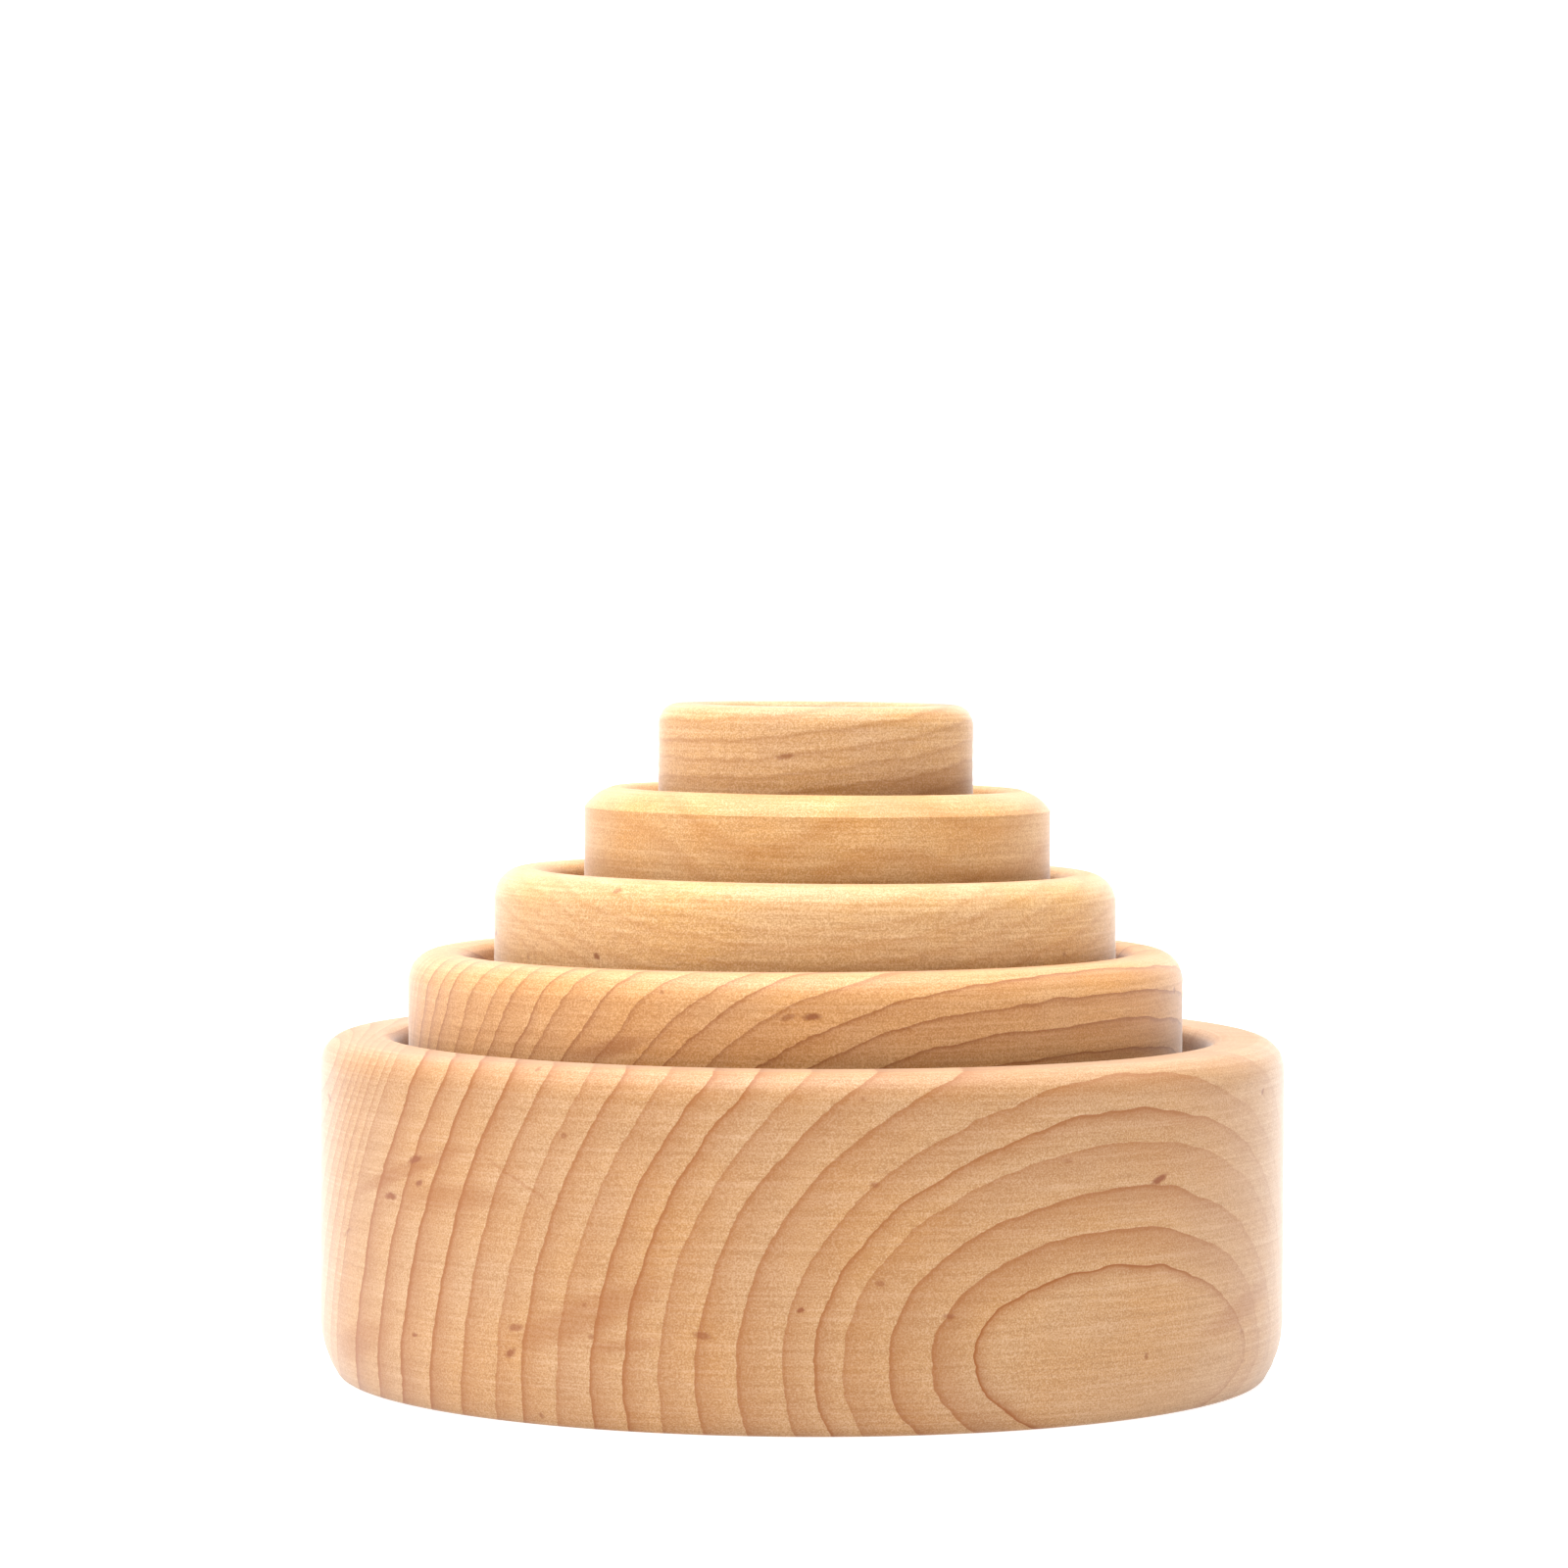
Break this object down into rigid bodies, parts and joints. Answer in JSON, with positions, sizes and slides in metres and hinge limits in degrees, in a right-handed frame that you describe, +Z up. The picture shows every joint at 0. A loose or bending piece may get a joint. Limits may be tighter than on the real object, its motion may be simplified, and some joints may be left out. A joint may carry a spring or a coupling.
{
  "type": "nesting bowl set",
  "caption": "Round, straight-walled wooden bowls with soft rims, nested one inside the other as a stepped tower; each lifts straight out of the next.",
  "frame": {"origin": "centre of the largest bowl's foot, on the surface it stands on", "axes": "+Z up along the bowls' axes, -Y the front, +X to the right seen from the front"},
  "size_m": [0.1, 0.1, 0.0694],
  "materials": {
    "largest_wood": "bare sanded alder, pinkish tan",
    "large_wood": "bare sanded alder, tan",
    "middle_wood": "bare sanded alder, light tan",
    "small_wood": "bare sanded alder, yellowish orange",
    "smallest_wood": "bare sanded alder, pinkish brown"
  },
  "bodies": {
    "largest": {"largest_bowl": "largest_wood"},
    "large": {"large_bowl": "large_wood"},
    "middle": {"middle_bowl": "middle_wood"},
    "small": {"small_bowl": "small_wood"},
    "smallest": {"smallest_bowl": "smallest_wood"}
  },
  "joints": [
    {"name": "large_bowl_lift", "type": "slide", "parent": "largest", "child": "large", "axis": [0, 0, 1], "range_m": [0, 0.03]},
    {"name": "middle_bowl_lift", "type": "slide", "parent": "large", "child": "middle", "axis": [0, 0, 1], "range_m": [0, 0.028]},
    {"name": "small_bowl_lift", "type": "slide", "parent": "middle", "child": "small", "axis": [0, 0, 1], "range_m": [0, 0.026]},
    {"name": "smallest_bowl_lift", "type": "slide", "parent": "small", "child": "smallest", "axis": [0, 0, 1], "range_m": [0, 0.025]}
  ]
}
